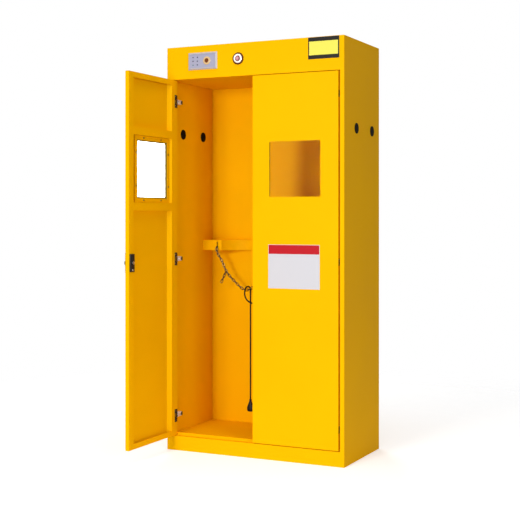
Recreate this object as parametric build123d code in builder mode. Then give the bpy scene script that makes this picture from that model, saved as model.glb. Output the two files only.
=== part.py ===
from build123d import *
import os
from math import ceil, pi, radians, sqrt, tan

os.makedirs("parts", exist_ok=True)

# A two-bottle gas cylinder cabinet of folded steel sheet, with its left door standing open.
# Millimetres. X is the width, Y the depth with the front at -Y, Z the height from the floor.

# Carcass
cabinet_width = 900.0
cabinet_depth = 450.0
cabinet_height = 1900.0
sheet = 1.5
bend_radius = 3.0
header_height = 152.0
plinth_height = 67.0
stile_width = 21.5
jamb_depth = 60.0
corner_return = 20.0
foot_flange = 25.0
sill_depth = 75.0
tray_setback = 25.0
tray_lip_height = 13.0
tray_side_gap = 1.0
stiffener_width = 60.0
stiffener_flange = 15.0
edge_round = 0.6

# Plugged pipe holes
pipe_hole_diameter = 45.0
pipe_hole_drop = 400.0
pipe_hole_front = -75.0
pipe_hole_rear = 125.0
plug_flange_diameter = 52.0
plug_flange_thickness = 2.5
plug_clearance = 0.1

# Cylinder cradle and chains
cradle_height = 51.0
cradle_bottom = 934.0
cradle_depth = 102.0
recess_radius = 130.0
recess_mouth = 234.0
horn_round = 6.0
cradle_slot_width = 6.0
cradle_slot_height = 34.0
cradle_slot_offset = 140.0
cradle_tab = 25.0
rivet_inset = 36.0
rivet_diameter = 5.0
rivet_head_diameter = 10.0
rivet_head_thickness = 1.3
rivet_clearance = 0.05
link_wire = 4.0
link_inner_length = 16.0
link_inner_width = 6.0
link_play = 0.3
chain_drape = (
    (-113.0, -73.5),
    (-87.0, -125.5),
    (-31.0, -184.5),
    (27.0, -218.5),
    (75.0, -189.5),
    (115.0, -107.5),
)
chain_tail_place = -87.0
chain_tail_links = 4
chain_tail_slope = (-0.43, 0, -0.9)
right_chain_length = 420.0

# Doors
door_gap = 3.0
door_meeting_gap = 2.0
hinge_edge_gap = 6.5
door_depth = 19.0
end_lip = 25.0
hinge_lip = 49.5
latch_lip = 40.0
door_corner_round = 1.5

# Windows
window_size = 250.0
window_corner = 5.0
window_centre_drop = 429.0
glass_thickness = 5.0
glass_edge = 9.0
gasket_thickness = 8.0
gasket_edge = 11.0
seal_clearance = 0.1
frame_plate = 300.0
frame_reveal = 6.0
band_height = 375.0
rail_clearance = 1.0
screw_edge = 10.0
screw_spread = 75.0
screw_head_diameter = 8.0
screw_head_thickness = 2.5
screw_diameter = 4.0
screw_clearance = 0.1

# Hinges
lower_hinge_inset = 92.0
upper_hinge_inset = 99.0
middle_hinge_offset = -2.0
pivot_from_edge = 8.0
pivot_from_face = 11.0
open_angle = 90.0
pin_diameter = 6.0
pin_running_clearance = 0.05
pin_seat_clearance = 0.02
knuckle_diameter = 12.0
knuckle_height = 20.0
ear_thickness = 4.0
ear_gap = 1.0
leaf_height = 60.0
leaf_width = 21.0
leaf_edge_inset = 2.0
leaf_thickness = 2.0
notch_play = 1.0
notch_depth = 17.0
leaf_notch_depth = 9.0
arm_start = 14.0
arm_length = 50.0
arm_height = 22.0
arm_round = 2.0
hinge_plate_thickness = 2.5
hinge_plate_height = 44.0
hinge_plate_length = 32.0

# Latch on the left door, drawn with the door closed
latch_height = 897.0
latch_from_edge = 22.0
latch_case_width = 34.0
latch_case_height = 80.0
latch_case_thickness = 6.0
spindle_diameter = 10.0
spindle_clearance = 0.05
latch_hole_diameter = 14.0
cam_length = 40.0
cam_width = 16.0
cam_thickness = 3.0
cam_gap = 0.5
escutcheon_width = 38.0
escutcheon_height = 110.0
escutcheon_thickness = 2.5
handle_length = 64.0
handle_width = 14.0
handle_thickness = 8.0
handle_hub_diameter = 26.0
handle_gap = 0.5
handle_socket = 6.0
spindle_head_diameter = 14.0
spindle_head_thickness = 2.0

# Bolts in the right door
bolt_diameter = 8.0
bolt_clearance = 0.05
bolt_from_edge = 14.0
bolt_length = 150.0
bolt_travel = 15.0
bolt_hole_clearance = 1.0
bolt_end_inset = 0.5
bolt_knob_diameter = 9.0
bolt_knob_length = 12.0
bolt_knob_offset = 95.0
bolt_slot_play = 1.0
guide_width = 20.0
guide_height = 24.0
guide_offset = 45.0

# Alarm panel and push button in the header
alarm_width = 152.0
alarm_height = 80.0
alarm_side_inset = 193.5
alarm_centre_drop = 72.0
alarm_bezel_depth = 8.0
alarm_bezel_frame = 8.0
alarm_bevel = 5.0
alarm_case_depth = 48.0
alarm_case_inset = 5.0
alarm_case_wall = 2.0
alarm_case_clearance = 0.2
alarm_face_recess = 2.5
alarm_face_thickness = 3.0
lamp_diameter = 38.0
lamp_offset = 23.5
lamp_height = 3.5
led_diameter = 6.0
led_height = 1.5
led_column_spacing = 23.0
led_row_spacing = 17.5
led_offset = -38.0
button_centre = -72.0
button_bezel_diameter = 56.0
button_bezel_thickness = 4.0
button_ring_diameter = 42.0
button_ring_thickness = 4.0
button_barrel_diameter = 30.0
button_barrel_clearance = 0.2
button_barrel_length = 30.0
button_cap_diameter = 23.0
button_cap_clearance = 0.1
button_cap_proud = 3.5
button_cap_length = 12.0
button_stem_diameter = 8.0
button_travel = 3.0
switch_diameter = 40.0
switch_length = 32.0

# Lead, gland and plug
lead_diameter = 7.0
gland_x = 334.0
gland_y = 150.0
gland_body_diameter = 22.0
gland_body_length = 22.0
gland_thread_diameter = 16.0
gland_thread_clearance = 0.2
gland_nut_thickness = 5.0
plug_profile = (
    (0.0, 14.0, 14.0),
    (12.0, 14.0, 14.0),
    (30.0, 28.12, 18.7),
    (45.6, 37.0, 22.0),
    (54.0, 34.78, 20.9),
    (60.0, 25.9, 15.4),
)
plug_pin_drop = 44.4
plug_pin_seat = 5.5
plug_pin_length = 18.0
plug_pin_width = 6.3
plug_pin_thickness = 1.5
plug_pin_radius = 8.0

# Blank sign plates
plate_thickness = 0.6
door_plate_width = 252.0
door_plate_height = 198.0
door_plate_drop = 439.0
door_plate_offset = -4.0
header_plate_width = 149.0
header_plate_height = 97.0
header_plate_side_inset = 97.5

# Places worked out from the sizes above
half_width = cabinet_width / 2
front = -cabinet_depth / 2
back = cabinet_depth / 2
inside_wall = half_width - sheet
back_wall = back - 2 * sheet
header_bottom = cabinet_height - header_height
roof_bottom = cabinet_height - sheet
jamb_face = half_width - stile_width
bay_centre = cabinet_width / 4
fascia_back = front + sheet

door_left = door_meeting_gap / 2
door_right = jamb_face - hinge_edge_gap
door_bottom = plinth_height + door_gap
door_top = header_bottom - door_gap
door_centre = (door_left + door_right) / 2
door_inner = front + door_depth
lip_front = door_inner - sheet
pivot_x = door_right - pivot_from_edge
pivot_y = front + pivot_from_face
left_pivot = Axis((-pivot_x, pivot_y, 0), (0, 0, 1))
lower_hinge = door_bottom + lower_hinge_inset
upper_hinge = door_top - upper_hinge_inset
middle_hinge = (lower_hinge + upper_hinge) / 2 + middle_hinge_offset
hinge_heights = (lower_hinge, middle_hinge, upper_hinge)
window_centre_height = door_top - window_centre_drop
door_plate_centre_height = window_centre_height - door_plate_drop
pipe_hole_height = cabinet_height - pipe_hole_drop
alarm_centre_height = cabinet_height - alarm_centre_drop
alarm_centre = alarm_side_inset - half_width
header_plate_centre = half_width - header_plate_side_inset


def block(x, y, z, mode=Mode.ADD):
    """A box between two places on each axis, inside the part being built."""
    with Locations(((x[0] + x[1]) / 2, (y[0] + y[1]) / 2, (z[0] + z[1]) / 2)):
        return Box(abs(x[1] - x[0]), abs(y[1] - y[0]), abs(z[1] - z[0]), mode=mode)


def rod_y(x, y, z, diameter, mode=Mode.ADD):
    """A round bar along Y between two places."""
    with Locations(Location((x, (y[0] + y[1]) / 2, z), (90, 0, 0))):
        return Cylinder(diameter / 2, abs(y[1] - y[0]), mode=mode)


def rod_z(x, y, z, diameter, mode=Mode.ADD):
    """A round bar along Z between two places."""
    with Locations((x, y, (z[0] + z[1]) / 2)):
        return Cylinder(diameter / 2, abs(z[1] - z[0]), mode=mode)


def keep(piece, label):
    """Name a finished piece and write it as its own file."""
    piece.label = label
    export_step(piece, f"parts/{label}.step")


def mirrored(piece):
    """The left-hand twin of a right-hand piece."""
    return mirror(piece, about=Plane.YZ)


def swung_open(piece):
    """A piece of the closed left door, carried round to where that door stands open."""
    return piece.rotate(left_pivot, -open_angle)


# Right side panel: one sheet folded into a rear flange, the side, the front stile and the jamb.
# The stile and jamb stop at the header and the plinth, whose corners fold round in their place.
with BuildPart() as side_panel:
    with BuildSketch(Plane.XY):
        with BuildLine():
            FilletPolyline(
                (half_width - corner_return, back),
                (half_width, back),
                (half_width, front),
                (jamb_face, front),
                (jamb_face, front + jamb_depth),
                radius=bend_radius,
            )
            offset(amount=sheet, side=Side.RIGHT)
        make_face()
    extrude(amount=roof_bottom)
    for zone in ((0, plinth_height), (header_bottom, cabinet_height)):
        block((jamb_face - sheet, inside_wall), (front, front + jamb_depth + sheet), zone, Mode.SUBTRACT)
        block((inside_wall, half_width), (front, front + corner_return), zone, Mode.SUBTRACT)
    block((inside_wall - foot_flange, inside_wall), (front + foot_flange, back_wall), (0, sheet))
    for place in (pipe_hole_front, pipe_hole_rear):
        with Locations(Location((half_width, place, pipe_hole_height), (0, 90, 0))):
            Cylinder(pipe_hole_diameter / 2, 4 * sheet, mode=Mode.SUBTRACT)
keep(side_panel.part, "right_side_panel")
keep(mirrored(side_panel.part), "left_side_panel")

# Header fascia: a flat front folded back at both corners, cut out for the alarm case and button.
barrel_bore = button_barrel_diameter + 2 * button_barrel_clearance
with BuildPart() as header_fascia:
    with BuildSketch(Plane.XY.offset(header_bottom)):
        with BuildLine():
            FilletPolyline(
                (-half_width, front + corner_return),
                (-half_width, front),
                (half_width, front),
                (half_width, front + corner_return),
                radius=bend_radius,
            )
            offset(amount=sheet, side=Side.LEFT)
        make_face()
    extrude(amount=roof_bottom - header_bottom)
    with Locations((alarm_centre, front, alarm_centre_height)):
        Box(
            alarm_width - 2 * alarm_case_inset,
            4 * sheet,
            alarm_height - 2 * alarm_case_inset,
            mode=Mode.SUBTRACT,
        )
    rod_y(button_centre, (front - sheet, front + 2 * sheet), alarm_centre_height, barrel_bore, Mode.SUBTRACT)
keep(header_fascia.part, "header_fascia")

# Plinth: the same folded front at the foot, with the door sill and a foot flange turned in.
bolt_hole = bolt_diameter + 2 * bolt_hole_clearance
bolt_x = door_left + bolt_from_edge
bolt_y = (front + sheet + lip_front) / 2
with BuildPart() as plinth_panel:
    with BuildSketch(Plane.XY):
        with BuildLine():
            FilletPolyline(
                (-half_width, front + corner_return),
                (-half_width, front),
                (half_width, front),
                (half_width, front + corner_return),
                radius=bend_radius,
            )
            offset(amount=sheet, side=Side.LEFT)
        make_face()
    extrude(amount=plinth_height)
    sill = (plinth_height - sheet, plinth_height)
    block((-inside_wall, inside_wall), (fascia_back, front + sill_depth), sill)
    block((-inside_wall, inside_wall), (fascia_back, front + foot_flange), (0, sheet))
    rod_z(bolt_x, bolt_y, (plinth_height - 2 * sheet, plinth_height + sheet), bolt_hole, Mode.SUBTRACT)
keep(plinth_panel.part, "plinth_panel")

# Places of the rivets that hold the cylinder cradle to the back panel
rivet_places = [side * place for side in (-1, 1) for place in (rivet_inset, inside_wall - rivet_inset)]
rivet_height = cradle_bottom + cradle_height - sheet - cradle_tab / 2
rivet_hole = rivet_diameter + 2 * rivet_clearance

# Back panel: a flat sheet against the sides' rear flanges, with its own foot flange.
with BuildPart() as back_panel:
    panel_half_width = half_width - bend_radius
    block((-panel_half_width, panel_half_width), (back_wall, back_wall + sheet), (0, roof_bottom))
    for place in rivet_places:
        rod_y(place, (back_wall - sheet, back), rivet_height, rivet_hole, Mode.SUBTRACT)
    foot_half_width = inside_wall - foot_flange
    block((-foot_half_width, foot_half_width), (back_wall - foot_flange, back_wall), (0, sheet))
keep(back_panel.part, "back_panel")

# Roof: a flat sheet closing the top, rounded like the folded corners below it.
with BuildPart() as roof_panel:
    block((-half_width, half_width), (front, back), (roof_bottom, cabinet_height))
    fillet(roof_panel.edges().filter_by(Axis.Z), bend_radius)
    fillet(roof_panel.faces().sort_by(Axis.Z)[-1].edges(), edge_round)
keep(roof_panel.part, "roof_panel")

# Ceiling: the sheet between the storage space and the header, holed for the door bolt and gland.
with BuildPart() as ceiling_panel:
    ceiling = (header_bottom, header_bottom + sheet)
    block((-inside_wall, inside_wall), (fascia_back, back_wall), ceiling)
    fillet(ceiling_panel.edges().filter_by(Axis.Z), bend_radius)
    through = (header_bottom - sheet, header_bottom + 2 * sheet)
    rod_z(bolt_x, bolt_y, through, bolt_hole, Mode.SUBTRACT)
    rod_z(gland_x, gland_y, through, gland_thread_diameter + 2 * gland_thread_clearance, Mode.SUBTRACT)
keep(ceiling_panel.part, "ceiling_panel")

# Floor tray: a sheet on the sill and stiffener, with a turned-up lip behind the doors.
tray_top = plinth_height + sheet
tray_front = front + tray_setback
with BuildPart() as floor_tray:
    front_half_width = jamb_face - tray_side_gap
    block((-front_half_width, front_half_width), (tray_front, front + sill_depth), (plinth_height, tray_top))
    lip_top = plinth_height + tray_lip_height
    block((-front_half_width, front_half_width), (tray_front, tray_front + sheet), (plinth_height, lip_top))
    rear_half_width = inside_wall - tray_side_gap
    block((-rear_half_width, rear_half_width), (front + sill_depth, back_wall), (plinth_height, tray_top))
keep(floor_tray.part, "floor_tray")

# Floor stiffener: a channel under the middle of the tray that stands on the ground.
stiffener_front = front + sill_depth
with BuildPart() as floor_stiffener:
    with BuildSketch(Plane.XZ.offset(-stiffener_front)):
        with BuildLine():
            FilletPolyline(
                (-stiffener_width / 2 - stiffener_flange, plinth_height - sheet),
                (-stiffener_width / 2, plinth_height - sheet),
                (-stiffener_width / 2, 0),
                (stiffener_width / 2, 0),
                (stiffener_width / 2, plinth_height - sheet),
                (stiffener_width / 2 + stiffener_flange, plinth_height - sheet),
                radius=bend_radius,
            )
            offset(amount=sheet, side=Side.LEFT)
        make_face()
    extrude(amount=-(back_wall - foot_flange - stiffener_front))
keep(floor_stiffener.part, "floor_stiffener")

# Pipe-hole plugs: closed rubber discs buttoned into both sides.
with BuildPart() as pipe_plugs:
    for side in (-1, 1):
        for place in (pipe_hole_front, pipe_hole_rear):
            with Locations(Location((side * (half_width - sheet / 2), place, pipe_hole_height), (0, 90, 0))):
                Cylinder(pipe_hole_diameter / 2 - plug_clearance, sheet)
            for wall in (inside_wall - plug_flange_thickness / 2, half_width + plug_flange_thickness / 2):
                with Locations(Location((side * wall, place, pipe_hole_height), (0, 90, 0))):
                    Cylinder(plug_flange_diameter / 2, plug_flange_thickness)
keep(pipe_plugs.part, "pipe_plugs")

# Cylinder cradle: a folded steel box on the back wall, hollowed by a round recess for each bottle.
# A narrow slot beside each recess takes one chain link edge-on, and rear tabs are riveted to the wall.
cradle_front = back_wall - cradle_depth
cradle_top = cradle_bottom + cradle_height
recess_centre_y = cradle_front - sqrt(recess_radius**2 - (recess_mouth / 2) ** 2)
slot_centre_height = cradle_bottom + cradle_height / 2
with BuildPart() as cylinder_cradle:
    with BuildSketch(Plane.XY.offset(cradle_bottom)):
        with Locations((0, back_wall - cradle_depth / 2)):
            Rectangle(2 * inside_wall, cradle_depth)
        with Locations((-bay_centre, recess_centre_y), (bay_centre, recess_centre_y)):
            Circle(recess_radius, mode=Mode.SUBTRACT)
        horns = [v for v in vertices() if abs(v.Y - cradle_front) < 1 and abs(v.X) < inside_wall - 1]
        fillet(horns, horn_round)
    extrude(amount=cradle_height)
    rear_face = cylinder_cradle.faces().sort_by(Axis.Y)[-1]
    offset(amount=-sheet, openings=rear_face)
    for bay in (-bay_centre, bay_centre):
        for place in (bay - cradle_slot_offset, bay + cradle_slot_offset):
            with Locations((place, cradle_front, slot_centre_height)):
                Box(cradle_slot_width, 4 * sheet, cradle_slot_height, mode=Mode.SUBTRACT)
    for place in rivet_places:
        with Locations((place, back_wall - sheet / 2, cradle_top - sheet - cradle_tab / 2)):
            Box(cradle_tab, sheet, cradle_tab)
        rod_y(place, (back_wall - 2 * sheet, back), rivet_height, rivet_hole, Mode.SUBTRACT)
keep(cylinder_cradle.part, "cylinder_cradle")

# Cradle rivets: a shank through tab and back panel with a flat head at each end.
with BuildPart() as cradle_rivets:
    for place in rivet_places:
        rod_y(place, (back_wall - sheet, back_wall + sheet), rivet_height, rivet_diameter)
        for side, face in ((-1, back_wall - sheet), (1, back_wall + sheet)):
            rod_y(place, (face, face + side * rivet_head_thickness), rivet_height, rivet_head_diameter)
keep(cradle_rivets.part, "cradle_rivets")

# One welded chain link lying flat, its long way along X.
link_bow = (link_inner_width + link_wire) / 2
link_run = (link_inner_length - link_inner_width) / 2
link_reach = link_run + link_bow
with BuildPart() as link:
    with BuildLine() as link_loop:
        Line((-link_run, link_bow), (link_run, link_bow))
        CenterArc((link_run, 0), link_bow, 90, -180)
        Line((link_run, -link_bow), (-link_run, -link_bow))
        CenterArc((-link_run, 0), link_bow, -90, -180)
    with BuildSketch(Plane(origin=link_loop.line @ 0, z_dir=link_loop.line % 0)):
        Circle(link_wire / 2)
    sweep()

# Each chain starts from a keeper link behind a cradle slot and an anchor link through the slot.
link_pitch = link_inner_length - link_play
anchor_y = cradle_front + sheet + link_play + link_reach + link_wire / 2 - link_pitch
chain_y = anchor_y - link_run - link_play
slot_floor = slot_centre_height - cradle_slot_height / 2
anchor_height = slot_floor + link_bow + link_wire / 2 + link_play
chain_start = anchor_height - (link_inner_width - link_wire) / 2 + link_play


def link_place(centre, along, flat):
    """Where a link lies: along a direction, flat in the chain's upright plane or edge-on to it."""
    across = Vector(0, 1, 0)
    normal = across if flat else across.cross(along)
    return Plane(origin=centre, x_dir=along, z_dir=normal).location


def slot_links(x):
    """The anchor link through a slot and the keeper link that lies behind it."""
    anchor = Plane(origin=(x, anchor_y, anchor_height), x_dir=(0, 1, 0), z_dir=(1, 0, 0)).location
    keeper = Plane(origin=(x, anchor_y + link_pitch, anchor_height), x_dir=(0, 1, 0), z_dir=(0, 0, 1)).location
    return [anchor, keeper]


def hanging_links(curve):
    """Links spaced along a curve, alternately flat and edge-on, with a flat one at both ends."""
    spaced = curve.length - 2 * link_reach
    steps = 2 * ceil(spaced / (2 * link_pitch))
    places = []
    for step in range(steps + 1):
        reach = link_reach + spaced * step / steps
        centre = curve.position_at(reach, position_mode=PositionMode.LENGTH)
        along = curve.tangent_at(reach, position_mode=PositionMode.LENGTH)
        places.append(link_place(centre, along, step % 2 == 0))
    return places


# Left chain: hung across its bay from slot to slot, drawn down off centre by the lead looped over it.
# A short tail of spare links hangs from the chain.
left_slots = (-bay_centre - cradle_slot_offset, -bay_centre + cradle_slot_offset)
chain_curve = Spline(
    (left_slots[0], chain_y, chain_start),
    *[(along - bay_centre, chain_y, slot_centre_height + below) for along, below in chain_drape],
    (left_slots[1], chain_y, chain_start),
    tangents=((0, 0, -1), (0, 0, 1)),
)
left_links = hanging_links(chain_curve)
tail_from = chain_tail_place - bay_centre
flat_links = left_links[::2]
branch = min(flat_links, key=lambda place: abs(place.position.X - tail_from)).position
tail_along = Vector(*chain_tail_slope).normalized()
tail_places = [
    link_place(branch + tail_along * (link_reach + link_pitch * step), tail_along, step % 2 == 1)
    for step in range(chain_tail_links)
]
with BuildPart() as left_chain:
    with Locations(*left_links, *tail_places, *slot_links(left_slots[0]), *slot_links(left_slots[1])):
        add(link.part)
keep(left_chain.part, "left_chain")

# Right chain: unhooked, so it hangs straight down from the outer slot of its bay.
right_slot = bay_centre + cradle_slot_offset
right_curve = Line((right_slot, chain_y, chain_start), (right_slot, chain_y, chain_start - right_chain_length))
with BuildPart() as right_chain:
    with Locations(*hanging_links(right_curve), *slot_links(right_slot)):
        add(link.part)
keep(right_chain.part, "right_chain")
print("chain links", len(left_chain.part.solids()), len(right_chain.part.solids()))

# Places of the screws that hold the window frames
screw_line = frame_plate / 2 - screw_edge
screw_places = [
    (door_centre + u, window_centre_height + v)
    for u, v in [(s * screw_spread, t * screw_line) for s in (-1, 1) for t in (-1, 1)]
    + [(s * screw_line, t * screw_spread) for s in (-1, 1) for t in (-1, 1)]
]
screw_hole = screw_diameter + 2 * screw_clearance

# Door pan, drawn closed on the right: a sheet front folded into four sides and an inward lip.
# The upright lips slope back to the front sheet, and the hinge side is notched at the hinges.
notch_half = knuckle_height / 2 + ear_gap + ear_thickness + notch_play
with BuildPart() as door_pan:
    block((door_left, door_right), (front, door_inner), (door_bottom, door_top))
    fillet(door_pan.faces().sort_by(Axis.Y)[0].edges(), door_corner_round)
    hollow_x = (door_left + sheet, door_right - sheet)
    block(hollow_x, (fascia_back, lip_front), (door_bottom + sheet, door_top - sheet), Mode.SUBTRACT)
    mouth_x = (door_left + latch_lip, door_right - hinge_lip)
    mouth_z = (door_bottom + end_lip, door_top - end_lip)
    block(mouth_x, (lip_front, door_inner), mouth_z, Mode.SUBTRACT)
    return_depth = door_inner - fascia_back
    for lip_edge, inward in ((mouth_x[0], 1), (mouth_x[1], -1)):
        with BuildSketch(Plane.XY.offset(door_bottom + sheet)):
            with BuildLine():
                Polyline(
                    (lip_edge, door_inner),
                    (lip_edge + inward * return_depth, fascia_back),
                    (lip_edge + inward * (return_depth - sheet), fascia_back),
                    (lip_edge - inward * sheet, door_inner),
                    close=True,
                )
            make_face()
        extrude(amount=door_top - door_bottom - 2 * sheet)
    with BuildSketch(Plane.XZ.offset(-fascia_back)):
        with Locations((door_centre, window_centre_height)):
            RectangleRounded(window_size, window_size, window_corner)
    extrude(amount=2 * sheet, mode=Mode.SUBTRACT)
    for height in hinge_heights:
        notch_z = (height - notch_half, height + notch_half)
        block((door_right - notch_depth, door_right), (fascia_back, door_inner), notch_z, Mode.SUBTRACT)

# Right door pan: bored through its top and bottom folds for the bolts, slotted for their thumb knobs.
bolt_bore = bolt_diameter + 2 * bolt_clearance
knob_half = bolt_knob_diameter / 2 + bolt_slot_play
upper_knob = door_top - bolt_knob_offset
lower_knob = door_bottom + bolt_knob_offset
with BuildPart() as right_door_pan:
    add(door_pan.part)
    for edge_of_door in (door_bottom, door_top):
        rod_z(bolt_x, bolt_y, (edge_of_door - 2 * sheet, edge_of_door + 2 * sheet), bolt_bore, Mode.SUBTRACT)
    for slot_z in (
        (upper_knob - knob_half, upper_knob + bolt_travel + knob_half),
        (lower_knob - bolt_travel - knob_half, lower_knob + knob_half),
    ):
        block((bolt_x - knob_half, bolt_x + knob_half), (lip_front, door_inner), slot_z, Mode.SUBTRACT)
keep(right_door_pan.part, "right_door_pan")

# Left door pan: the mirrored pan, bored through front and lip for the latch.
latch_x = -door_left - latch_from_edge
with BuildPart() as left_door_pan:
    add(mirrored(door_pan.part))
    rod_y(latch_x, (front - sheet, door_inner + sheet), latch_height, latch_hole_diameter, Mode.SUBTRACT)
keep(swung_open(left_door_pan.part), "left_door_pan")


def keep_pair(piece, name):
    """Keep a piece of the right door and its twin on the opened left door."""
    keep(piece, f"right_{name}")
    keep(swung_open(mirrored(piece)), f"left_{name}")


def window_block(size, y, mode=Mode.ADD):
    """A square plate centred on the window between two depths."""
    half = size / 2
    middle = window_centre_height
    return block((door_centre - half, door_centre + half), y, (middle - half, middle + half), mode)


# Window band: two channels across the back of the door, above and below the window frame.
with BuildPart() as window_band:
    rail_edge = frame_plate / 2 + rail_clearance
    for side in (-1, 1):
        near = window_centre_height + side * rail_edge
        far = window_centre_height + side * band_height / 2
        channel_sheets = (
            (min(near, far), abs(far - near), sheet),
            (min(near, near + side * sheet), sheet, return_depth),
            (min(far, far - side * sheet), sheet, return_depth),
        )
        for low, height, depth in channel_sheets:
            with BuildSketch(Plane.XY.offset(low)):
                with BuildLine():
                    Polyline(
                        (mouth_x[0], door_inner),
                        (mouth_x[1], door_inner),
                        (mouth_x[1] - depth, door_inner - depth),
                        (mouth_x[0] + depth, door_inner - depth),
                        close=True,
                    )
                make_face()
            extrude(amount=height)
keep_pair(window_band.part, "window_band")

# Window gasket: a square rubber channel behind the front sheet that holds the glass by its edges.
gasket_back = fascia_back + gasket_thickness
glass_size = window_size + 2 * glass_edge
glass_front = fascia_back + (gasket_thickness - glass_thickness) / 2
glass_back = glass_front + glass_thickness
with BuildPart() as window_gasket:
    window_block(window_size + 2 * gasket_edge, (fascia_back, gasket_back))
    window_block(window_size, (fascia_back, gasket_back), Mode.SUBTRACT)
    groove = (glass_front - seal_clearance, glass_back + seal_clearance)
    window_block(glass_size + 2 * seal_clearance, groove, Mode.SUBTRACT)
keep_pair(window_gasket.part, "window_gasket")

# Window glass
with BuildPart() as window_glass:
    window_block(glass_size, (glass_front, glass_back))
keep_pair(window_glass.part, "window_glass")

# Window frame: a screwed plate that presses the gasket against the front sheet.
frame_face = gasket_back + sheet
with BuildPart() as window_frame:
    window_block(frame_plate, (gasket_back, frame_face))
    window_block(window_size + 2 * frame_reveal, (gasket_back, frame_face), Mode.SUBTRACT)
    for x, z in screw_places:
        rod_y(x, (gasket_back, frame_face), z, screw_hole, Mode.SUBTRACT)
keep_pair(window_frame.part, "window_frame")

# Window screws: round heads on the frame, shanks set on the back of the front sheet.
with BuildPart() as window_screws:
    for x, z in screw_places:
        rod_y(x, (fascia_back, frame_face), z, screw_diameter)
        rod_y(x, (frame_face, frame_face + screw_head_thickness), z, screw_head_diameter)
keep_pair(window_screws.part, "window_screws")

# Hinge leaves: a plate on each notch of the door's lip, with two ears that hold the pin.
leaf_right = door_right - leaf_edge_inset
leaf_face = door_inner + leaf_thickness
knuckle_radius = knuckle_diameter / 2
ear_low = knuckle_height / 2 + ear_gap
ear_high = ear_low + ear_thickness
with BuildPart() as hinge_leaves:
    for height in hinge_heights:
        leaf_z = (height - leaf_height / 2, height + leaf_height / 2)
        block((leaf_right - leaf_width, leaf_right), (door_inner, leaf_face), leaf_z)
        gap_z = (height - ear_low, height + ear_low)
        block((pivot_x - leaf_notch_depth, door_right), (door_inner, leaf_face), gap_z, Mode.SUBTRACT)
        for ear_z in ((height + ear_low, height + ear_high), (height - ear_high, height - ear_low)):
            block((pivot_x - knuckle_radius, pivot_x + knuckle_radius), (pivot_y, leaf_face), ear_z)
            rod_z(pivot_x, pivot_y, ear_z, knuckle_diameter)
            rod_z(pivot_x, pivot_y, ear_z, pin_diameter + 2 * pin_seat_clearance, Mode.SUBTRACT)
keep_pair(hinge_leaves.part, "hinge_leaves")

# Hinge pins, held in the ears.
with BuildPart() as hinge_pins:
    for height in hinge_heights:
        rod_z(pivot_x, pivot_y, (height - ear_high, height + ear_high), pin_diameter)
keep_pair(hinge_pins.part, "hinge_pins")

# Hinge arms: a knuckle on the pin, a neck through the door's notch and a body along the jamb.
plate_face = jamb_face - hinge_plate_thickness
arm_front = pivot_y + arm_start
with BuildPart() as hinge_arms:
    for height in hinge_heights:
        arm_z = (height - arm_height / 2, height + arm_height / 2)
        block((pivot_x - knuckle_radius, plate_face), (arm_front, arm_front + arm_length), arm_z)
    fillet(hinge_arms.edges().filter_by(Axis.Y).group_by(Axis.X)[0], arm_round)
    for height in hinge_heights:
        knuckle_z = (height - knuckle_height / 2, height + knuckle_height / 2)
        block((pivot_x - knuckle_radius, pivot_x + knuckle_radius), (pivot_y, arm_front), knuckle_z)
        rod_z(pivot_x, pivot_y, knuckle_z, knuckle_diameter)
        rod_z(pivot_x, pivot_y, knuckle_z, pin_diameter + 2 * pin_running_clearance, Mode.SUBTRACT)
keep(hinge_arms.part, "right_hinge_arms")
keep(mirrored(hinge_arms.part), "left_hinge_arms")

# Hinge plates: small packers between each arm and the jamb.
with BuildPart() as hinge_plates:
    for height in hinge_heights:
        plate_z = (height - hinge_plate_height / 2, height + hinge_plate_height / 2)
        block((plate_face, jamb_face), (arm_front, arm_front + hinge_plate_length), plate_z)
keep(hinge_plates.part, "right_hinge_plates")
keep(mirrored(hinge_plates.part), "left_hinge_plates")

# Latch case: a rim case on the left door's lip that carries the spindle. Drawn with the door closed.
case_face = door_inner + latch_case_thickness
spindle_bore = spindle_diameter + 2 * spindle_clearance
with BuildPart() as latch_case:
    with Locations((latch_x, (door_inner + case_face) / 2, latch_height)):
        Box(latch_case_width, latch_case_thickness, latch_case_height)
    chamfer(latch_case.faces().sort_by(Axis.Y)[-1].edges(), sheet)
    rod_y(latch_x, (door_inner, case_face), latch_height, spindle_bore, Mode.SUBTRACT)
keep(swung_open(latch_case.part), "latch_case")

# Latch escutcheon: the plate on the outside of the left door.
escutcheon_face = front - escutcheon_thickness
with BuildPart() as latch_escutcheon:
    with Locations((latch_x, (front + escutcheon_face) / 2, latch_height)):
        Box(escutcheon_width, escutcheon_thickness, escutcheon_height)
    fillet(latch_escutcheon.edges().filter_by(Axis.Y), escutcheon_width / 2 - sheet)
    rod_y(latch_x, (escutcheon_face, front), latch_height, spindle_bore, Mode.SUBTRACT)
keep(swung_open(latch_escutcheon.part), "latch_escutcheon")

# Latch spindle: a bar from the handle's socket to a head behind the cam.
cam_front = case_face + cam_gap
cam_back = cam_front + cam_thickness
handle_back = escutcheon_face - handle_gap
handle_front = handle_back - handle_thickness
with BuildPart() as latch_spindle:
    rod_y(latch_x, (handle_back - handle_socket, cam_back), latch_height, spindle_diameter)
    rod_y(latch_x, (cam_back, cam_back + spindle_head_thickness), latch_height, spindle_head_diameter)
keep(swung_open(latch_spindle.part), "latch_spindle")

# Latch handle: a low turning grip with a blind socket for the spindle.
socket_bore = spindle_diameter + 2 * pin_seat_clearance
with BuildPart() as latch_handle:
    rod_y(latch_x, (handle_front, handle_back), latch_height, handle_hub_diameter)
    with Locations((latch_x, (handle_front + handle_back) / 2, latch_height)):
        Box(handle_width, handle_thickness, handle_length)
    fillet(latch_handle.faces().sort_by(Axis.Y)[0].edges(), sheet)
    rod_y(latch_x, (handle_back - handle_socket, handle_back), latch_height, socket_bore, Mode.SUBTRACT)
keep(swung_open(latch_handle.part), "latch_handle")

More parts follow.
